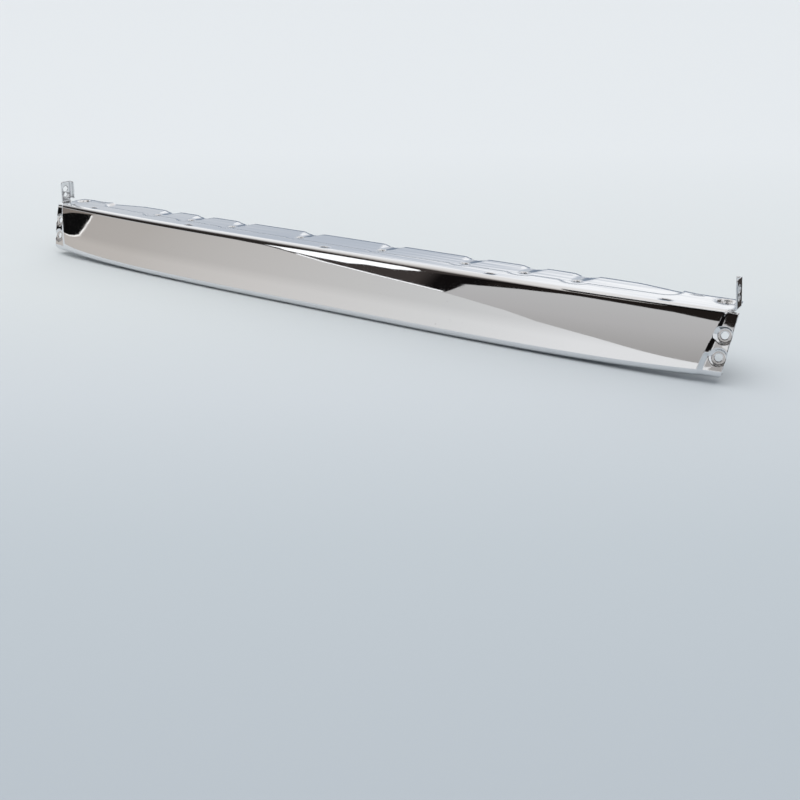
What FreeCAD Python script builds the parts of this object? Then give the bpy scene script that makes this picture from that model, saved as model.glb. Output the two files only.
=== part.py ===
import FreeCAD, Part
import math
import os

from FreeCAD import Vector

# One chrome-plated face bar, pressed from a single steel sheet, in millimetres.
# +X runs along the bar to the right, +Y goes in to the truck and +Z is up.
# It is drawn from the middle of the virtual corner between its face and its shelf,
# then moved so that the origin lies midway between the two bolt holes of the shelf,
# in the middle of the sheet's thickness.

# Sheet, length and cross-section of the bar
sheet = 2.0
face_half = 700.0
flange_width = 19.0
bow = 21.0
bow_power = 3.0
face_drop = 103.0
end_rise = 8.0
face_lean = 28.0
face_crown = 520.0
corner_radius = 12.0
roll_radius = 9.0
lip_depth = 14.0

# Slope of the face ends and of the outer edges of the end flanges, in degrees
corner_tilt = 16.0
edge_tilt = 4.5
end_round = 9.0

# The joggle that sets each end flange back for the end cap that bolts over it
joggle = 2.5
joggle_run = 5.0
flange_sweep = 3.0
flange_end = face_half + flange_width

# Plan of the shelf: straight rear edge with a notch behind each clip hole, narrow neck
shelf_rear = 88.0
shelf_shoulder = face_half - 155.0
shelf_neck = face_half - 60.0
neck_rear = 67.0
shelf_end = face_half + 9.0
notch_depth = 6.0
notch_half = 27.0
notch_round = 40.0

# The tread channel pressed into the shelf, with a lobe and a flute at each clip hole
land_width = 46.0
channel_half = face_half - 84.0
channel_drop = 3.0
channel_corner = 22.0
lobe_radius = 24.0
flute_radius = 90.0
flute_drop = 2.4

# Dished clip holes along the channel, at shares of half the face's length
clip_shares = [0.13, 0.3686, 0.5243, 0.655]
clip_stations = [share * face_half for share in clip_shares]
clip_line = 44.0
clip_hole = 4.5
clip_seat_drop = 2.5

# Row of slots along the front of the shelf
slot_stations = [0.0, face_half * 0.47, channel_half - 4.0]
slot_setback = 18.0
slot_length = 16.0
slot_width = 5.0

# Dished bolt seats on the ends of the shelf
shelf_seat_x = face_half - 12.0
shelf_seat_y = 49.0
shelf_seat_drop = 4.0
shelf_hole = 6.0
shelf_seat_flat = 4.0
bulge_margin = 9.0

# Dished bolt seats on the end flanges, an upper and a lower one
flange_seats = [(face_half + 6.0, -33.0), (face_half + 3.5, -64.0)]
flange_seat_drop = 3.0
flange_hole = 5.5
flange_seat_flat = 4.5

# Three pilot holes in the neck of the shelf
pilot_x = shelf_neck + 3.0
pilot_pitch = 6.0
pilot_inset = 7.0
pilot_hole = 1.4

# The upright ears, bent up from the ends of the shelf
ear_front = 12.0
ear_width = 27.0
ear_height = 43.0
ear_lean = 6.0
ear_bend = 3.0
ear_lip = 9.0
ear_lip_foot = 7.0
ear_round = 4.0
ear_hole_setback = 10.0
ear_holes = [(28.0, 6.2), (15.5, 4.4)]
relief = 3.0

# Room that the cutting tools reach past the sheet, and a gap too small to draw
reach = 40.0
touching = 0.001

# Every pressed wall slopes at 45 degrees, so its foot moves by this share of an offset
wall_share = math.tan(math.radians(22.5))

# Where the sections of the middle and of a joggle stand, as shares of their length
middle_shares = (-1.0, -0.93, -0.8, -0.6, -0.3, 0.0, 0.3, 0.6, 0.8, 0.93, 1.0)
joggle_shares = (0.0, 0.2, 0.4, 0.6, 0.8, 1.0)


def front_line(x):
    """Y of the virtual corner between face and shelf at x along the bar."""
    return -bow * (1.0 - abs(x / face_half) ** bow_power)


def drop_at(x):
    """Height of the bar at x along it; the bottom edge rises towards the ends."""
    return face_drop - end_rise * (x / face_half) ** 4


def bend_arc(centre, radius, start, end):
    """Arc round a centre from one point on it to another."""
    middle = (start + end) * 0.5 - centre
    middle.normalize()
    return Part.Arc(start, centre + middle * radius, end).toShape()


def section(station, tilt, set_back, inset):
    """Closed outline across the bar at a station, in a plane tilted from upright.

    An inset of 0 gives the outside of the sheet and one of its thickness the inside.
    The face and its two bends are arcs that touch, so both outlines are parallel.
    """
    height = drop_at(station) / math.cos(math.radians(tilt))
    front = front_line(station) + set_back
    slope = math.atan2(face_lean, height)
    inward = Vector(0, math.cos(slope), -math.sin(slope))
    crown = Vector(0, front - face_lean / 2, -height / 2) + inward * face_crown

    def bend_centre(radius, z):
        """Centre of a bend that touches the face from behind at height z."""
        return Vector(0, crown.y - math.sqrt((face_crown - radius) ** 2 - (z - crown.z) ** 2), z)

    def on_face(centre):
        """Point where the bend round a centre meets the face."""
        outward = centre - crown
        outward.normalize()
        return crown + outward * (face_crown - inset)

    top = bend_centre(corner_radius, -corner_radius)
    bottom = bend_centre(roll_radius, roll_radius - height)
    shelf_point = Vector(0, top.y, -inset)
    lip_point = Vector(0, bottom.y, inset - height)
    upper = on_face(top)
    lower = on_face(bottom)
    rear = shelf_rear + reach
    if inset:
        back = [Vector(0, rear + reach, inset - height), Vector(0, rear + reach, -inset)]
    else:
        lip_end = bottom.y + lip_depth
        back = [Vector(0, lip_end, -height), Vector(0, lip_end, -height / 2),
                Vector(0, rear, -height / 2), Vector(0, rear, 0)]
    edges = [
        bend_arc(top, corner_radius - inset, shelf_point, upper),
        bend_arc(crown, face_crown - inset, upper, lower),
        bend_arc(bottom, roll_radius - inset, lower, lip_point),
    ]
    corners = [lip_point] + back + [shelf_point]
    edges += [Part.makeLine(first, second) for first, second in zip(corners, corners[1:])]
    wire = Part.Wire(edges)
    wire.rotate(Vector(0, 0, 0), Vector(0, 1, 0), tilt)
    wire.translate(Vector(station, 0, 0))
    return wire


def end_section(station, inset):
    """Outline at a station beyond the face, where the sheet is set back."""
    run = min((station - face_half) / joggle_run, 1.0)
    past = max(station - face_half - joggle_run, 0.0)
    set_back = joggle * run * run * (3.0 - 2.0 * run) + past * math.tan(math.radians(flange_sweep))
    share = (station - face_half) / (flange_end - face_half)
    tilt = corner_tilt + (edge_tilt - corner_tilt) * share
    return section(station, tilt, set_back, inset)


def both_ends(shape):
    """A shape and its mirror image at the other end of the bar."""
    return [shape, shape.mirror(Vector(0, 0, 0), Vector(1, 0, 0))]


def body(inset):
    """The bar as a full block: the long bowed middle, a joggle and a flange at each end."""
    wires = [section(share * face_half, corner_tilt * share ** 5, 0.0, inset) for share in middle_shares]
    middle = Part.makeLoft(wires, True, False)
    wires = [end_section(face_half + joggle_run * share, inset) for share in joggle_shares]
    round_part = Part.makeLoft(wires, True, False)
    stations = [flange_end, flange_end + reach] if inset else [flange_end]
    flat_wires = [wires[-1]] + [end_section(station, inset) for station in stations]
    end = round_part.fuse(Part.makeLoft(flat_wires, True, True))
    return middle.fuse(both_ends(end))


def dish(point, outward, hole, flat, drop, inset):
    """Tool that presses a round seat with sloping walls, a flat ring wider than its hole."""
    depth = drop + inset
    foot = hole + flat + inset * wall_share
    rise = depth + corner_radius
    return Part.makeCone(foot, foot + rise, rise, point - outward * depth, outward)


def channel_outline(growth, z):
    """Outline of the tread channel at height z, open past the rear of the shelf."""
    half = channel_half + growth
    rear = shelf_rear + reach
    radius = channel_corner + growth
    front_middle = front_line(0.0) + land_width - growth
    front_side = front_line(half) + land_width - growth
    corner_y = front_side + radius
    rim = half - radius
    swing = radius * math.sqrt(0.5)
    left = Vector(-rim, front_side, z)
    right = Vector(rim, front_side, z)
    right_side = Vector(half, corner_y, z)
    left_side = Vector(-half, corner_y, z)
    return Part.Wire([
        Part.Arc(left, Vector(0, front_middle, z), right).toShape(),
        Part.Arc(right, Vector(rim + swing, corner_y - swing, z), right_side).toShape(),
        Part.makeLine(right_side, Vector(half, rear, z)),
        Part.makeLine(Vector(half, rear, z), Vector(-half, rear, z)),
        Part.makeLine(Vector(-half, rear, z), left_side),
        Part.Arc(left_side, Vector(-rim - swing, corner_y - swing, z), left).toShape(),
    ])


def channel(inset):
    """Tools that press the tread channel, and a lobe, a flute and a dish at each clip."""
    depth = channel_drop + inset
    foot = inset * wall_share
    rise = depth + corner_radius
    floor_outline = channel_outline(foot, -depth)
    tools = [Part.makeLoft([floor_outline, channel_outline(foot + rise, corner_radius)], True, True)]
    fall = math.degrees(math.atan2(flute_drop, shelf_rear - clip_line))
    for station in clip_stations:
        low = lobe_radius + foot
        lobe = Part.makeCone(low, low + rise, rise, Vector(station, clip_line, -depth))
        flute = Part.makeCylinder(flute_radius + inset, shelf_rear + reach, Vector(0, 0, 0), Vector(0, 1, 0))
        flute.rotate(Vector(0, 0, 0), Vector(1, 0, 0), -fall)
        flute.translate(Vector(station, clip_line, flute_radius - channel_drop))
        floor = Vector(station, clip_line, -channel_drop)
        seat = dish(floor, Vector(0, 0, 1), clip_hole, 0.0, clip_seat_drop, inset)
        tools += both_ends(lobe) + both_ends(flute) + both_ends(seat)
    return tools


def flange_face(x, z):
    """Point on the outside of the right end flange, and the way the flange faces there."""
    lean = math.atan2(face_lean, face_drop)
    sweep = math.radians(flange_sweep)
    past = x - face_half - joggle_run - z * math.tan(math.radians(edge_tilt))
    y = front_line(x) + joggle + past * math.tan(sweep) + z * math.tan(lean)
    outward = Vector(math.sin(sweep), -math.cos(lean), math.sin(lean))
    outward.normalize()
    return Vector(x, y, z), outward


def seats(inset):
    """Tools that press the dished bolt seats on the shelf ends and the end flanges."""
    shelf_point = Vector(shelf_seat_x, shelf_seat_y, 0)
    tools = both_ends(dish(shelf_point, Vector(0, 0, 1), shelf_hole, shelf_seat_flat, shelf_seat_drop, inset))
    for x, z in flange_seats:
        point, outward = flange_face(x, z)
        tools += both_ends(dish(point, outward, flange_hole, flange_seat_flat, flange_seat_drop, inset))
    return tools


def rounded_wire(corners, z):
    """Closed outline at height z through corners, each with its x, y and rounding radius."""
    count = len(corners)
    points = [Vector(x, y, z) for x, y, radius in corners]
    edges = []
    last = None
    for index in range(count + 1):
        point = points[index % count]
        radius = corners[index % count][2]
        before = points[index % count - 1] - point
        after = points[(index + 1) % count] - point
        before.normalize()
        after.normalize()
        half = before.getAngle(after) / 2
        cut = radius / math.tan(half)
        start = point + before * cut
        end = point + after * cut
        if last and start.distanceToPoint(last) > touching:
            edges.append(Part.makeLine(last, start))
        last = end
        if index < count and radius > touching:
            bisector = before + after
            bisector.normalize()
            arc_point = point + bisector * (radius / math.sin(half) - radius)
            edges.append(Part.Arc(start, arc_point, end).toShape())
    return Part.Wire(edges)


def shelf_plan():
    """Corners of what is kept of the shelf, seen from above, from the middle to the right."""
    corners = []
    for station in clip_stations:
        corners.append((station - notch_half, shelf_rear, notch_round))
        corners.append((station, shelf_rear - notch_depth, notch_depth))
        corners.append((station + notch_half, shelf_rear, notch_round))
    bulge = shelf_hole + shelf_seat_flat + bulge_margin
    bulge_rear = shelf_seat_y + bulge
    bulge_side = shelf_seat_x - bulge
    ear_rear = ear_front + ear_width
    inner = shelf_end - relief
    corners += [
        (shelf_shoulder, shelf_rear, notch_round),
        (shelf_neck, neck_rear, notch_round),
        (bulge_side, neck_rear, relief),
        (bulge_side + relief * 2, bulge_rear, relief),
        (shelf_end, bulge_rear, bulge / 2),
        (shelf_end, ear_rear, 0.0),
        (inner, ear_rear, 0.0),
        (inner, ear_rear - relief, 0.0),
        (shelf_end, ear_rear - relief, 0.0),
        (shelf_end, ear_front, 0.0),
        (inner, ear_front, 0.0),
        (inner, ear_front - relief, 0.0),
        (flange_end + reach, ear_front - relief, 0.0),
        (flange_end + reach, -reach * 2, 0.0),
    ]
    return corners


def trim(bar):
    """The bar with its shelf cut to plan and its lower outer corners rounded."""
    right = shelf_plan()
    left = [(-x, y, radius) for x, y, radius in reversed(right)]
    kept = Part.Face(rounded_wire(right + left, -reach / 2)).extrude(Vector(0, 0, reach))
    room = flange_end + reach * 2
    waste = Part.makeBox(room * 2, reach * 8, reach, Vector(-room, -reach * 3, -reach / 2)).cut(kept)
    bottom = -drop_at(flange_end)
    side = flange_end + bottom * math.tan(math.radians(edge_tilt))
    centre = Vector(side - end_round, -reach * 2, bottom + end_round)
    corner = Vector(centre.x, centre.y, centre.z - end_round * 2)
    square = Part.makeBox(end_round * 2, reach * 3, end_round * 2, corner)
    square = square.cut(Part.makeCylinder(end_round, reach * 3, centre, Vector(0, 1, 0)))
    return bar.cut([waste] + both_ends(square))


def ear():
    """The right ear: a tab bent up from the shelf end, its rear edge turned in as a lip."""
    pivot = Vector(shelf_end, 0, ear_bend)
    inner = shelf_end + ear_bend
    outer = inner + sheet
    rear = ear_front + ear_width
    flat_rear = rear - sheet - ear_bend
    plan = [
        (inner, ear_front, 0.0),
        (inner, rear - sheet, ear_bend),
        (outer - ear_lip, rear - sheet, 0.0),
        (outer - ear_lip, rear, 0.0),
        (outer, rear, ear_bend + sheet),
        (outer, ear_front, 0.0),
    ]
    upright = Part.Face(rounded_wire(plan, ear_bend)).extrude(Vector(0, 0, ear_height - ear_bend))
    lip_gap = Part.makeBox(reach, reach, ear_lip_foot - ear_bend, Vector(outer - reach, flat_rear, ear_bend))
    side = [
        (-ear_bend, ear_front, 0.0),
        (-ear_height, ear_front, ear_round),
        (-ear_height, rear, ear_round),
        (-ear_bend, rear, 0.0),
    ]
    profile = Part.Face(rounded_wire(side, 0.0)).extrude(Vector(0, 0, reach))
    profile.rotate(Vector(0, 0, 0), Vector(0, 1, 0), 90)
    profile.translate(Vector(outer - reach / 2, 0, 0))
    upright = upright.cut(lip_gap).common(profile)
    for height, radius in ear_holes:
        start = Vector(inner - sheet, ear_front + ear_hole_setback, height)
        upright = upright.cut(Part.makeCylinder(radius, sheet * 3, start, Vector(1, 0, 0)))
    upright.rotate(pivot, Vector(0, 1, 0), -ear_lean)
    width = flat_rear - ear_front
    strip = [
        Vector(shelf_end, ear_front, 0),
        Vector(shelf_end, flat_rear, 0),
        Vector(shelf_end, flat_rear, -sheet),
        Vector(shelf_end, ear_front, -sheet),
        Vector(shelf_end, ear_front, 0),
    ]
    bend = Part.Face(Part.makePolygon(strip)).revolve(pivot, Vector(0, -1, 0), 90.0 + ear_lean)
    foot = Part.makeBox(relief, width, sheet, Vector(shelf_end - relief, ear_front, -sheet))
    return upright.fuse([bend, foot])


def holes():
    """Tools that cut every hole and slot of the right half and its mirror image."""
    low = -reach / 2
    tools = [Part.makeCylinder(clip_hole, reach, Vector(x, clip_line, low)) for x in clip_stations]
    tools.append(Part.makeCylinder(shelf_hole, reach, Vector(shelf_seat_x, shelf_seat_y, low)))
    for step in (-1, 0, 1):
        place = Vector(pilot_x + step * pilot_pitch, neck_rear - pilot_inset, low)
        tools.append(Part.makeCylinder(pilot_hole, reach, place))
    for x, z in flange_seats:
        point, outward = flange_face(x, z)
        tools.append(Part.makeCylinder(flange_hole, reach / 2, point - outward * (reach / 4), outward))
    for station in slot_stations:
        y = front_line(station) + slot_setback
        half = slot_length / 2
        end = slot_width / 2
        corners = [
            (station - half, y - end, end),
            (station + half, y - end, end),
            (station + half, y + end, end),
            (station - half, y + end, end),
        ]
        tools.append(Part.Face(rounded_wire(corners, -sheet * 2)).extrude(Vector(0, 0, sheet * 3)))
    mirrored = []
    for tool in tools:
        mirrored += both_ends(tool)
    return mirrored


def face_bar():
    """The whole bar: the sheet between two pressed blocks, trimmed, eared and drilled."""
    outside = body(0.0).cut(channel(0.0) + seats(0.0))
    inside = body(sheet).cut(channel(sheet) + seats(sheet))
    bar = trim(outside.cut(inside)).fuse(both_ends(ear())).cut(holes())
    bar.translate(Vector(0, -shelf_seat_y, shelf_seat_drop + sheet / 2))
    return bar


if __name__ == "__main__":
    os.makedirs("parts", exist_ok=True)
    face_bar().exportStep("parts/face_bar.step")
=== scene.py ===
import logging
import math
from dataclasses import dataclass, field
from enum import Enum
from typing import Any

import bpy
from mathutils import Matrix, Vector


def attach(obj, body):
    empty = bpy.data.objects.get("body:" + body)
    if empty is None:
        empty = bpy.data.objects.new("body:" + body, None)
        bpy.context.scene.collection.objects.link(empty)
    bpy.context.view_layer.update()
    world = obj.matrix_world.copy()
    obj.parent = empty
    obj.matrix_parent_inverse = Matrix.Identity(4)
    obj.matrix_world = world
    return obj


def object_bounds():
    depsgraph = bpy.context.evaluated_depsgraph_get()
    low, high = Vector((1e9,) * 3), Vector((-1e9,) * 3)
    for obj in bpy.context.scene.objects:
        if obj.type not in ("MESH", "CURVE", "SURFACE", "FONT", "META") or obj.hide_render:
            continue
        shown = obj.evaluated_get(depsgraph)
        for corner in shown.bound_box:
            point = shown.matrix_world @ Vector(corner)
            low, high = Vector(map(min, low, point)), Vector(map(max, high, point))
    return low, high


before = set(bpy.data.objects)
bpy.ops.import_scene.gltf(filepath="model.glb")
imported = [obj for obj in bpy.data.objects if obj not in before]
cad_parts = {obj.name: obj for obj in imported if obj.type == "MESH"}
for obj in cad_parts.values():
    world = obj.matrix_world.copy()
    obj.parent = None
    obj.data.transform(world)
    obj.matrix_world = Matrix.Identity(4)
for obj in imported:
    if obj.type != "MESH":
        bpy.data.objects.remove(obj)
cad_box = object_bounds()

log = logging.getLogger("face_bar")

MM = 0.001
Point = tuple[float, float, float]
Outline = tuple[tuple[float, float], ...]
Stops = tuple[tuple[float, str], ...]


def linear(hex_colour: str) -> tuple[float, float, float, float]:
    """Turns an sRGB colour into the linear one that Blender's sockets take.

    Args:
        hex_colour: the colour as #RRGGBB.

    Returns:
        Linear red, green and blue with an alpha of 1.
    """
    parts = [int(hex_colour[i:i + 2], 16) / 255 for i in (1, 3, 5)]
    red, green, blue = [p / 12.92 if p <= 0.04045 else ((p + 0.055) / 1.055) ** 2.4 for p in parts]
    return (red, green, blue, 1.0)


def add_node(tree: bpy.types.NodeTree, kind: str, links: dict[Any, Any] | None = None,
             **settings: Any) -> bpy.types.Node:
    """Adds a node, gives it its settings and feeds its inputs.

    Args:
        tree: the node tree that gets the node.
        kind: the node's type name.
        links: input name or number to a value, or to the output socket that feeds it.
        settings: attributes of the node itself; stops fills a colour ramp.

    Returns:
        The new node.
    """
    node = tree.nodes.new(kind)
    stops: Stops = settings.pop("stops", ())
    for name, value in settings.items():
        setattr(node, name, value)
    for index, (place, colour) in enumerate(stops):
        elements = node.color_ramp.elements
        element = elements[index] if index < len(elements) else elements.new(place)
        element.position = place
        element.color = linear(colour)
    for name, value in (links or {}).items():
        if isinstance(value, bpy.types.NodeSocket):
            tree.links.new(value, node.inputs[name])
        else:
            node.inputs[name].default_value = value
    return node


def reckon(tree: bpy.types.NodeTree, operation: str, first: Any, second: Any) -> bpy.types.NodeSocket:
    """Works two values together in a Math node and gives the result's socket."""
    return add_node(tree, "ShaderNodeMath", {0: first, 1: second}, operation=operation).outputs[0]


def blend(tree: bpy.types.NodeTree, share: Any, first: Any, second: Any) -> bpy.types.NodeSocket:
    """Mixes two colours by a share and gives the mixed colour's socket."""
    return add_node(tree, "ShaderNodeMix", {0: share, 6: first, 7: second}, data_type="RGBA").outputs[2]


def ease(tree: bpy.types.NodeTree, value: Any, start: float, end: float,
         low: float = 0.0, high: float = 1.0) -> bpy.types.NodeSocket:
    """Carries a value that runs from start to end over to one that runs from low to high."""
    return add_node(tree, "ShaderNodeMapRange", {0: value, 1: start, 2: end, 3: low, 4: high}).outputs[0]


def grain(tree: bpy.types.NodeTree, place: bpy.types.NodeSocket, size_mm: float,
          detail: float) -> bpy.types.NodeSocket:
    """Gives a noise whose patches are about size_mm across, from their real size."""
    return add_node(tree, "ShaderNodeTexNoise",
                    {"Vector": place, "Scale": 1 / (size_mm * MM), "Detail": detail}).outputs["Fac"]


def new_material(name: str) -> tuple[bpy.types.Material, bpy.types.NodeTree]:
    """Makes a material with an empty node tree.

    Args:
        name: the finish's name.

    Returns:
        The material and its node tree.
    """
    material = bpy.data.materials.new(name)
    material.use_nodes = True
    material.node_tree.nodes.clear()
    return material, material.node_tree


def link_object(name: str, data: bpy.types.ID) -> bpy.types.Object:
    """Puts a mesh, light or camera in the scene as an object.

    Args:
        name: the object's name.
        data: the mesh, light or camera.

    Returns:
        The new object.
    """
    made = bpy.data.objects.new(name, data)
    bpy.context.scene.collection.objects.link(made)
    return made


def flat_sheet(name: str, corners: list[Point], finish: bpy.types.Material) -> bpy.types.Object:
    """Puts one flat face in the scene.

    Args:
        name: the object's name.
        corners: the face's corners in order, in metres.
        finish: the face's material.

    Returns:
        The new object.
    """
    mesh = bpy.data.meshes.new(name)
    mesh.from_pydata(corners, [], [range(len(corners))])
    mesh.materials.append(finish)
    return link_object(name, mesh)


def even(colour: str) -> Stops:
    """Stops of a ramp that has one colour all along."""
    return ((0.0, colour), (1.0, colour))


def upright(outline: Outline | list[tuple[float, float]], distance: float) -> list[Point]:
    """Stands an outline of x and height up in front of the bar, at a distance in metres."""
    return [(x, -distance, z) for x, z in outline]


class Axis(Enum):
    """The way that a card's colours run: along it or up it."""

    X = "X"
    Z = "Z"


@dataclass(frozen=True)
class ChromePlatedSteel:
    """Decorative chrome over bright nickel on pressed steel, buffed outside, dull inside.

    The buffed outside mirrors the room with a hint of haze. Its reflections waver a little,
    because the press leaves the sheet slightly wavy. The inside is plated over the raw
    rolled sheet, so it only shines softly and looks grey and mottled.
    """

    # Chrome is a cool near-white; where the steel under it is raw, it greys in patches
    outside: str = "#E0E1E3"
    inside: str = "#9A9C9E"
    inside_shade: str = "#6E7072"
    mottle_mm: float = 14.0

    # The mirror is crisp, with soft patches of haze where the noise passes these levels
    roughness: float = 0.02
    haze: float = 0.018
    haze_start: float = 0.4
    haze_full: float = 0.7
    inside_roughness: float = 0.42

    # Slow waves of the pressed sheet, which bend straight reflections a little
    wave_mm: float = 75.0
    wave_depth_mm: float = 0.016

    # Buffing lines along the level shelf, drawn coarser than real ones so that they show
    streak_long_mm: float = 240.0
    streak_across_mm: float = 11.0
    streak_depth_mm: float = 0.11
    flat_start: float = 0.9
    flat_full: float = 0.99

    # Brown specks of painted shade round the shelf bolts, matt, and drawn coarser than real ones too
    painted_shade: str = "#4A3A2C"
    painted_shade_roughness: float = 0.6
    speck_mm: float = 3.2
    speck_softness: float = 0.05
    seat_x_mm: float = 688.0
    painted_shade_core_mm: float = 8.0
    painted_shade_reach_mm: float = 42.0
    speck_level_near: float = 0.62
    speck_level_far: float = 0.78

    # Radii that the press leaves on edges, wider where the sheet lies level
    press_radius_mm: float = 2.6
    shelf_radius_mm: float = 8.0
    level_start: float = 0.6
    level_full: float = 0.9
    edge_samples: int = 12

    # How far a surface turns to the rear, up or down, and how high it lies, on the inside
    turned: float = 0.35
    turned_down: float = -0.3
    below_shelf_mm: float = -2.0
    near_shelf_mm: float = -30.0
    at_lip_mm: float = -80.0

    def inside_mask(self, tree: bpy.types.NodeTree, place: bpy.types.NodeSocket,
                    facing: bpy.types.NodeSocket) -> bpy.types.NodeSocket:
        """Finds the hidden side of the sheet from where a point lies and which way it faces.

        Args:
            tree: the node tree.
            place: the point in the object's frame, in metres.
            facing: the surface normal in the object's frame.

        Returns:
            A value that is 1 inside the bar and 0 on its polished outside.
        """
        height = add_node(tree, "ShaderNodeSeparateXYZ", {0: place}).outputs["Z"]
        turn = add_node(tree, "ShaderNodeSeparateXYZ", {0: facing})
        rearward = reckon(tree, "GREATER_THAN", turn.outputs["Y"], self.turned)
        downward = reckon(tree, "LESS_THAN", turn.outputs["Z"], self.turned_down)
        upward = reckon(tree, "GREATER_THAN", turn.outputs["Z"], self.turned)
        below = reckon(tree, "LESS_THAN", height, self.below_shelf_mm * MM)
        high = reckon(tree, "GREATER_THAN", height, self.near_shelf_mm * MM)
        low = reckon(tree, "LESS_THAN", height, self.at_lip_mm * MM)
        behind_face = reckon(tree, "MULTIPLY", rearward, below)
        under_shelf = reckon(tree, "MULTIPLY", downward, high)
        over_lip = reckon(tree, "MULTIPLY", upward, low)
        hidden = reckon(tree, "MAXIMUM", behind_face, under_shelf)
        return reckon(tree, "MAXIMUM", hidden, over_lip)

    def painted_shade_mask(self, tree: bpy.types.NodeTree, place: bpy.types.NodeSocket) -> bpy.types.NodeSocket:
        """Scatters brown specks of painted shade round the shelf bolts and the ears' feet.

        Args:
            tree: the node tree.
            place: the point in the object's frame, in metres.

        Returns:
            A value that is 1 on a speck.
        """
        mirrored = add_node(tree, "ShaderNodeVectorMath", {0: place}, operation="ABSOLUTE")
        seat = (self.seat_x_mm * MM, 0.0, 0.0)
        away = add_node(tree, "ShaderNodeVectorMath", {0: mirrored.outputs[0], 1: seat}, operation="DISTANCE")
        level = ease(tree, away.outputs["Value"], self.painted_shade_core_mm * MM, self.painted_shade_reach_mm * MM,
                     self.speck_level_near, self.speck_level_far)
        over = reckon(tree, "SUBTRACT", grain(tree, place, self.speck_mm, 2.0), level)
        return ease(tree, over, 0.0, self.speck_softness)

    def relief(self, tree: bpy.types.NodeTree, place: bpy.types.NodeSocket,
               rise: bpy.types.NodeSocket) -> bpy.types.NodeSocket:
        """Rounds the pressed edges, and adds the sheet's waves and the buffing lines.

        Args:
            tree: the node tree.
            place: the point in the object's frame, in metres.
            rise: how far the surface faces up, 1 where it lies level.

        Returns:
            The surface normal for the shader.
        """
        level = ease(tree, rise, self.level_start, self.level_full)
        radius = ease(tree, level, 0.0, 1.0, self.press_radius_mm * MM, self.shelf_radius_mm * MM)
        pressed = add_node(tree, "ShaderNodeBevel", {"Radius": radius}, samples=self.edge_samples)
        waved = add_node(tree, "ShaderNodeBump",
                         {"Strength": 1.0, "Distance": self.wave_depth_mm * MM,
                          "Height": grain(tree, place, self.wave_mm, 1.0),
                          "Normal": pressed.outputs["Normal"]})
        along = 1 / (self.streak_long_mm * MM)
        across = 1 / (self.streak_across_mm * MM)
        stretched = add_node(tree, "ShaderNodeVectorMath", {0: place, 1: (along, across, along)},
                             operation="MULTIPLY")
        streak = add_node(tree, "ShaderNodeTexNoise",
                          {"Vector": stretched.outputs[0], "Scale": 1.0, "Detail": 1.0})
        flat = ease(tree, rise, self.flat_start, self.flat_full)
        lined = add_node(tree, "ShaderNodeBump",
                         {"Strength": flat, "Distance": self.streak_depth_mm * MM,
                          "Height": streak.outputs["Fac"], "Normal": waved.outputs["Normal"]})
        return lined.outputs["Normal"]

    def material(self) -> bpy.types.Material:
        """Builds the finish.

        Returns:
            The material for the whole bar.
        """
        material, tree = new_material("chrome_plated_steel")
        coordinates = add_node(tree, "ShaderNodeTexCoord")
        place = coordinates.outputs["Object"]
        facing = coordinates.outputs["Normal"]
        rise = add_node(tree, "ShaderNodeSeparateXYZ", {0: facing}).outputs["Z"]
        hidden = self.inside_mask(tree, place, facing)
        # Brown matt specks paint the shade round the ears' feet and the shelf bolts
        painted_shade = self.painted_shade_mask(tree, place)
        mottle = grain(tree, place, self.mottle_mm, 5.0)
        dull = blend(tree, mottle, linear(self.inside_shade), linear(self.inside))
        plate = blend(tree, hidden, linear(self.outside), dull)
        colour = blend(tree, painted_shade, plate, linear(self.painted_shade))
        hazy = ease(tree, mottle, self.haze_start, self.haze_full, self.roughness,
                    self.roughness + self.haze)
        rough = add_node(tree, "ShaderNodeMix", {0: hidden, 2: hazy, 3: self.inside_roughness})
        specked_roughness = add_node(tree, "ShaderNodeMix", {0: painted_shade, 2: rough.outputs[0], 3: self.painted_shade_roughness})
        shader = add_node(tree, "ShaderNodeBsdfPrincipled",
                          {"Base Color": colour, "Metallic": 1.0, "Roughness": specked_roughness.outputs[0],
                           "Normal": self.relief(tree, place, rise)})
        add_node(tree, "ShaderNodeOutputMaterial", {"Surface": shader.outputs[0]})
        return material


@dataclass(frozen=True)
class SeamlessPaper:
    """Photographic paper off a wide roll, uncoated, so it is matt and only spreads light.

    Its colour holds painted light and shade: deepest on the floor between the camera and the bar, where the
    light falls off, and paler both ways.
    """

    # Painted light and shade from the front to the back, in metres along the way that the camera looks
    painted_falloff: Stops = (
        (0.0, "#DADFE3"), (0.2, "#C6CDD3"), (0.474, "#B0B9C1"), (0.537, "#B8C1C8"), (0.605, "#C6CDD3"),
        (0.695, "#D1D7DA"), (1.0, "#DADFE3"))
    front: float = -4.0
    back: float = 1.8
    away: Point = (-0.55, 0.83, 0.0)
    roughness: float = 0.85

    def material(self) -> bpy.types.Material:
        """Builds the finish.

        Returns:
            The material for the floor.
        """
        material, tree = new_material("seamless_paper")
        place = add_node(tree, "ShaderNodeTexCoord").outputs["Object"]
        depth = add_node(tree, "ShaderNodeVectorMath", {0: place, 1: self.away}, operation="DOT_PRODUCT")
        # The ramp paints the fall of the light along the floor into its colour
        share = ease(tree, depth.outputs["Value"], self.front, self.back)
        tone = add_node(tree, "ShaderNodeValToRGB", {0: share}, stops=self.painted_falloff)
        shader = add_node(tree, "ShaderNodeBsdfPrincipled",
                          {"Base Color": tone.outputs[0], "Roughness": self.roughness})
        add_node(tree, "ShaderNodeOutputMaterial", {"Surface": shader.outputs[0]})
        return material


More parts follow.
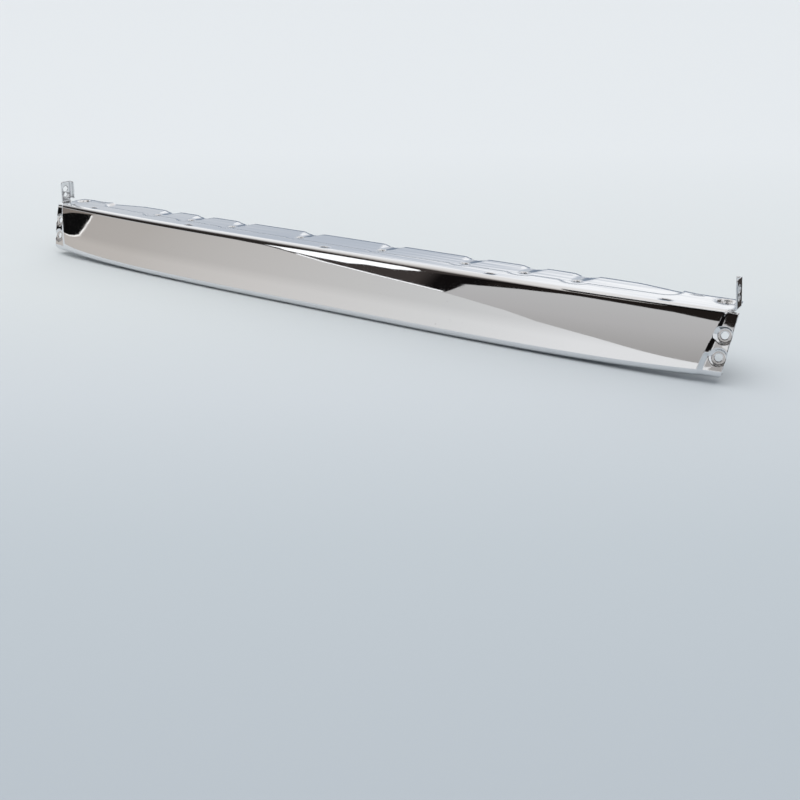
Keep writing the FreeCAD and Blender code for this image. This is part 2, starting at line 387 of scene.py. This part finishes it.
@dataclass(frozen=True)
class LitCard:
    """A lit studio card, as even as a softbox or fading from one side to the other.

    In chrome such a card is seen as a clean zone with a sharp edge. Its foot can be
    brighter, as a card is where the floor throws light back at it.
    """

    stops: Stops
    strength: float
    axis: Axis = Axis.X
    foot_lift: float = 0.0
    foot_end: float = 0.17
    lift_end: float = 0.30

    def material(self, name: str) -> bpy.types.Material:
        """Builds the glow of one card.

        Args:
            name: the card's name.

        Returns:
            The material.
        """
        material, tree = new_material(name)
        place = add_node(tree, "ShaderNodeTexCoord").outputs["Generated"]
        part = add_node(tree, "ShaderNodeSeparateXYZ", {0: place})
        fade = add_node(tree, "ShaderNodeValToRGB", {0: part.outputs[self.axis.value]}, stops=self.stops)
        lift = ease(tree, part.outputs["Z"], self.foot_end, self.lift_end,
                    self.strength * (1 + self.foot_lift), self.strength)
        glow = add_node(tree, "ShaderNodeEmission", {"Color": fade.outputs[0], "Strength": lift})
        add_node(tree, "ShaderNodeOutputMaterial", {"Surface": glow.outputs[0]})
        return material


@dataclass
class FaceBar:
    """The one piece of the part: the pressed bar with its flanges and ears.

    Its sizes are those of the part's source, in mm and degrees. The origin is the shift
    from the source's drawing to the frame, and the skin is how far the polish lies outside.
    """

    node: str = "face_bar"
    body: str = "root"
    face_half: float = 700.0
    bow: float = 21.0
    bow_power: float = 3.0
    face_drop: float = 103.0
    end_rise: float = 8.0
    face_lean: float = 28.0
    face_crown: float = 520.0
    corner_radius: float = 12.0
    roll_radius: float = 9.0
    corner_tilt: float = 16.0
    origin_y: float = -49.0
    origin_z: float = 5.0
    skin: float = 0.06
    stations: int = 280
    bend_steps: int = 16
    face_steps: int = 20
    finish: ChromePlatedSteel = field(default_factory=ChromePlatedSteel)

    def dress(self) -> bpy.types.Object:
        """Gives the bar from the frame its plated finish.

        Returns:
            The bar's object.
        """
        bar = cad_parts[self.node]
        finish = self.finish.material()
        for slot in bar.material_slots:
            slot.material = finish
        return bar

    def profile(self, station: float, tilt: float) -> list[Vector]:
        """Follows the outside of the sheet from the shelf, down the face, to the lower lip.

        Args:
            station: distance along the bar from its middle, in mm.
            tilt: how far the section leans from upright, in radians.

        Returns:
            Points across the bar.
        """
        share = station / self.face_half
        height = (self.face_drop - self.end_rise * share ** 4) / math.cos(tilt)
        front = -self.bow * (1 - abs(share) ** self.bow_power)
        slope = math.atan2(self.face_lean, height)
        inward = Vector((0, math.cos(slope), -math.sin(slope)))
        crown = Vector((0, front - self.face_lean / 2, -height / 2)) + inward * self.face_crown

        def bend_centre(radius: float, z: float) -> Vector:
            """Centre of the bend that touches the face from behind at height z."""
            reach = math.sqrt((self.face_crown - radius) ** 2 - (z - crown.z) ** 2)
            return Vector((0, crown.y - reach, z))

        def bearing(centre: Vector) -> float:
            """Angle above level at which the crown's centre sees a bend's centre."""
            return math.atan2(centre.z - crown.z, crown.y - centre.y)

        top = bend_centre(self.corner_radius, -self.corner_radius)
        bottom = bend_centre(self.roll_radius, self.roll_radius - height)
        upper = bearing(top)
        lower = bearing(bottom)
        arcs = [
            (top, self.corner_radius, math.pi / 2, upper, self.bend_steps),
            (crown, self.face_crown, upper, lower, self.face_steps),
            (bottom, self.roll_radius, lower, -math.pi / 2, self.bend_steps),
        ]
        found = []
        for centre, radius, start, end, steps in arcs:
            # Only the last arc takes its end point, because the others meet the next one
            for step in range(steps + (centre is bottom)):
                angle = start + (end - start) * step / steps
                way = Vector((0, -math.cos(angle), math.sin(angle)))
                found.append(centre + way * (radius + self.skin))
        return found

    def polish(self) -> bpy.types.Object:
        """Lays the buffed outer skin on the face and its two bends, with its true curvature.

        Returns:
            The skin's object.
        """
        points, ways, faces = [], [], []
        for index in range(self.stations + 1):
            share = 2 * index / self.stations - 1
            station = share * self.face_half
            tilt = math.radians(self.corner_tilt) * share ** 5
            for point in self.profile(station, tilt):
                turned = Vector((point.z * math.sin(tilt) + station, point.y, point.z * math.cos(tilt)))
                points.append((turned + Vector((0, self.origin_y, self.origin_z))) * MM)
        across = len(points) // (self.stations + 1)
        for index in range(self.stations + 1):
            for row in range(across):
                here = index * across + row
                left = points[max(index - 1, 0) * across + row]
                right = points[min(index + 1, self.stations) * across + row]
                above = points[here - 1] if row else points[here]
                below = points[here + 1] if row < across - 1 else points[here]
                ways.append((right - left).cross(above - below).normalized())
                if index < self.stations and row < across - 1:
                    faces.append((here, here + 1, here + across + 1, here + across))
        mesh = bpy.data.meshes.new("polished_face")
        mesh.from_pydata(points, [], faces)
        mesh.shade_smooth()
        mesh.normals_split_custom_set_from_vertices(ways)
        mesh.materials.append(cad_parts[self.node].material_slots[0].material)
        skin = link_object("polished_face", mesh)
        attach(skin, self.body)
        return skin


@dataclass
class Card:
    """One flat card in the room, seen only as a reflection in the chrome."""

    name: str
    corners: list[Point]
    finish: LitCard

    def build(self) -> bpy.types.Object:
        """Makes the card, and keeps it out of the camera's own view and out of the light.

        Returns:
            The card's object.
        """
        card = flat_sheet(self.name, self.corners, self.finish.material(self.name))
        card.visible_camera = False
        card.visible_shadow = False
        card.visible_diffuse = False
        return card


@dataclass
class Studio:
    """A pale floor under soft light, with the cards that the chrome mirrors."""

    floor_half: float = 400.0
    floor_gap_mm: float = 0.5

    # Light of the room; a white card is a little brighter than the room's own white
    sky_strength: float = 1.35
    white_lift: float = 1.1

    # The long slanted edge between the low zone and what stands over it, left to right,
    # the corner of it where the grey zone starts, the width of the light along its left
    # part, and that of the pale trim beside the black card
    edge: Outline = (
        (-3.11, 1.41), (-2.81, 1.26), (-2.54, 1.15), (-2.30, 1.05), (-1.86, 0.93), (-1.39, 0.82),
        (-0.95, 0.66), (-0.71, 0.53), (-0.31, 0.40), (0.04, 0.26), (0.45, 0.12), (0.95, -0.03))
    tip: int = 5
    edge_light: float = 0.022
    trim_width: float = 0.035

    # Room light by height, from level to straight up, in front, behind and to the right
    front_light: Stops = (
        (0.0, "#CCCDCE"), (0.31, "#B8B8B8"), (0.35, "#989796"), (0.37, "#221F1D"), (0.74, "#2E2A28"),
        (0.81, "#8C8783"), (0.88, "#C8C4C0"), (1.0, "#E8E8E8"))
    back_light: Stops = (
        (0.0, "#5F6B7B"), (0.13, "#7D8896"), (0.185, "#BDC1C6"), (0.222, "#A9B0BA"), (0.238, "#B3B9C2"),
        (0.266, "#EFF0F1"), (0.29, "#DADCDF"), (0.36, "#ECEDEE"), (0.60, "#E2E2E2"), (0.85, "#D8D5D2"),
        (1.0, "#E8E8E8"))
    right_light: Stops = ((0.0, "#6A6664"), (0.1, "#2A2726"), (0.55, "#221F1E"), (0.75, "#D8D8D8"))
    right_wall: str = "#D2D5D8"
    backdrop: str = "#E4E8EC"

    # Where one part of the room fades into the next, as shares of the way to that side
    back_fade: tuple[float, float] = (-0.15, 0.25)
    right_fade: tuple[float, float] = (0.12, 0.3)
    wall_fade: tuple[float, float] = (0.68, 0.8)

    # The overhead light's width and lean in degrees, and its strength
    lamp_width: float = 70.0
    lamp_lean: tuple[float, float] = (12.0, -10.0)
    lamp_strength: float = 1.45

    def floor(self) -> bpy.types.Object:
        """Lays the floor just under the bar.

        Returns:
            The floor's object.
        """
        low = cad_box[0].z - self.floor_gap_mm * MM
        half = self.floor_half
        corners = [(-half, -half, low), (half, -half, low), (half, half, low), (-half, half, low)]
        floor = flat_sheet("floor", corners, SeamlessPaper().material())
        return floor

    def cards(self) -> list[Card]:
        """Lists the cards that make the long slanted edge and the zones over it.

        Returns:
            The cards, the farthest first, each with its outline in metres.
        """
        glow = self.sky_strength
        left, right = self.edge[:self.tip + 1], self.edge[self.tip:]
        low = [(-8.0, -0.09), (0.95, -0.09), *reversed(self.edge), (-8.0, 1.9)]
        rim = [*left[2:], *((x, z + self.edge_light) for x, z in reversed(left[2:]))]
        grey = [*right, (1.25, -0.03), (1.25, 1.12), (0.41, 1.14), (0.31, 1.17), (0.12, 1.23),
                (-0.21, 1.27), (-0.54, 1.30), (-0.92, 1.22), (-1.30, 1.11), (-1.33, 1.00), (-1.35, 0.93)]
        dark = [(-3.2, 0.3), (4.5, -0.09), (4.5, 7.0), (-0.8, 7.0), (-0.8, 4.6), (-3.2, 4.6)]
        white = [(-2.98, 1.62), (-2.80, 1.32), (-2.65, 1.22), (-2.40, 1.165), (-2.17, 1.145),
                 (-2.05, 1.19), (-1.85, 1.19), (-1.67, 1.27), (-1.75, 1.60), (-2.20, 2.5), (-2.98, 2.9)]
        board = [(-14.0, 2.4), (-6.6, 1.25), (-6.25, 1.06), (-5.99, 1.20), (-5.74, 1.255), (-5.39, 1.30),
                 (-5.33, 1.07), (-5.33, 0.75), (-5.40, 0.47), (-5.55, 0.385), (-5.74, 0.335),
                 (-5.92, 0.335), (-6.05, 0.40), (-14.0, 0.25)]
        trim = [(x + self.trim_width, z - self.trim_width) for x, z in board]
        shade = [(-6.9, 1.0), (-5.37, 1.2), (-5.5, 1.75), (-6.9, 2.0)]
        end = [(0.50, 0.0), (1.25, 0.0), (1.25, 0.95), (0.50, 0.95)]
        ceiling = [(-0.5, -1.25, 2.5), (1.6, -1.25, 2.5), (1.6, -0.1, 2.5), (-0.5, -0.1, 2.5)]
        beside = [(0.74, 0.12, -0.09), (1.15, 0.12, -0.09), (1.15, 0.12, 0.3), (0.74, 0.12, 0.3)]
        black = LitCard(even("#0A0A0A"), glow)
        bright = LitCard(even("#FFFFFF"), glow * self.white_lift)
        return [
            Card("dark_card", upright(dark, 3.06),
                 LitCard(((0.0, "#1A1716"), (0.075, "#3A3533"), (0.20, "#3A3533"), (0.218, "#0F0D0D"),
                          (0.256, "#0F0D0D"), (0.27, "#1D1917"), (0.6, "#1D1917"), (0.7, "#0C0B0B")), glow)),
            Card("low_card", upright(low, 3.04),
                 LitCard(((0.0, "#A39D97"), (0.42, "#ADA8A3"), (0.60, "#BAB7B4"), (0.75, "#C3C3C2"),
                          (0.85, "#CDCDCD"), (1.0, "#CFCFCF")), glow, foot_lift=0.16)),
            Card("grey_card", upright(grey, 3.03),
                 LitCard(((0.0, "#959290"), (0.3, "#A19F9D"), (0.6, "#ADABAA"), (1.0, "#B4B3B2")), glow,
                         Axis.Z)),
            Card("white_card", upright(white, 3.02), bright),
            Card("edge_light", upright(rim, 3.01), bright),
            Card("end_card", upright(end, 3.00), LitCard(((0.0, "#D6D6D6"), (1.0, "#C4C4C4")), glow)),
            Card("shade_card", upright(shade, 2.99), LitCard(((0.0, "#6E6762"), (1.0, "#857D76")), glow)),
            Card("trim_card", upright(trim, 2.98), LitCard(even("#F4F2EE"), glow)),
            Card("black_card", upright(board, 2.97), black),
            Card("ceiling_card", ceiling, black),
            Card("side_card", beside, LitCard(((0.0, "#3A3634"), (1.0, "#151313")), glow)),
        ]

    def sky(self) -> bpy.types.World:
        """Lights the room: bright low down, a dark band over it and soft light from above.

        The chrome mirrors that room. The camera itself sees a plain pale backdrop instead.

        Returns:
            The world.
        """
        world = bpy.data.worlds.new("studio")
        world.use_nodes = True
        tree = world.node_tree
        tree.nodes.clear()
        place = add_node(tree, "ShaderNodeTexCoord").outputs["Generated"]
        way = add_node(tree, "ShaderNodeSeparateXYZ", {0: place})
        front, back, side = (
            add_node(tree, "ShaderNodeValToRGB", {0: way.outputs["Z"]}, stops=stops).outputs[0]
            for stops in (self.front_light, self.back_light, self.right_light))
        both = blend(tree, ease(tree, way.outputs["Y"], *self.back_fade), front, back)
        room = blend(tree, ease(tree, way.outputs["X"], *self.right_fade), both, side)
        walled = blend(tree, ease(tree, way.outputs["X"], *self.wall_fade), room, linear(self.right_wall))
        glow = add_node(tree, "ShaderNodeBackground", {"Color": walled, "Strength": self.sky_strength})
        plain = add_node(tree, "ShaderNodeBackground", {"Color": linear(self.backdrop), "Strength": 1.0})
        seen = add_node(tree, "ShaderNodeLightPath").outputs["Is Camera Ray"]
        shown = add_node(tree, "ShaderNodeMixShader", {0: seen, 1: glow.outputs[0], 2: plain.outputs[0]})
        add_node(tree, "ShaderNodeOutputWorld", {"Surface": shown.outputs[0]})
        bpy.context.scene.world = world
        return world

    def lamp(self) -> bpy.types.Object:
        """Hangs one wide soft light over the room for the floor and its soft shadow.

        Returns:
            The lamp's object.
        """
        light = bpy.data.lights.new("overhead_light", "SUN")
        light.angle = math.radians(self.lamp_width)
        light.energy = self.lamp_strength
        lamp = link_object("overhead_light", light)
        lamp.rotation_euler = (*map(math.radians, self.lamp_lean), 0)
        lamp.visible_glossy = False
        return lamp

    def build(self) -> None:
        """Sets up the floor, the sky, the lamp and the cards."""
        self.floor()
        self.sky()
        self.lamp()
        for card in self.cards():
            card.build()
            log.info("card %s stands in the room", card.name)


@dataclass
class Camera:
    """The camera, standing where the photograph was taken from."""

    place: Point = (1.0626, -1.4164, 0.4129)
    target: Point = (0.1572, -0.0490, -0.2497)
    lens: float = 45.0
    sensor: float = 36.0
    nearest: float = 0.05
    farthest: float = 1000.0

    def build(self) -> bpy.types.Object:
        """Makes the camera and aims it.

        Returns:
            The camera's object.
        """
        data = bpy.data.cameras.new("camera")
        data.lens = self.lens
        data.sensor_width = self.sensor
        data.clip_start = self.nearest
        data.clip_end = self.farthest
        camera = link_object("camera", data)
        camera.location = self.place
        aim = Vector(self.target) - Vector(self.place)
        camera.rotation_euler = aim.to_track_quat("-Z", "Y").to_euler()
        bpy.context.scene.camera = camera
        return camera


def main() -> None:
    """Builds the camera, dresses the bar and lights the room, and keeps the sizes."""
    logging.basicConfig(level=logging.INFO, format="%(name)s: %(message)s")
    Camera().build()
    face_bar = FaceBar()
    for piece in (face_bar.dress(), face_bar.polish()):
        log.info("%s is finished in %s", piece.name, piece.material_slots[0].material.name)
    Studio().build()
    bpy.context.scene.view_settings.view_transform = "Standard"


if __name__ == "__main__":
    main()
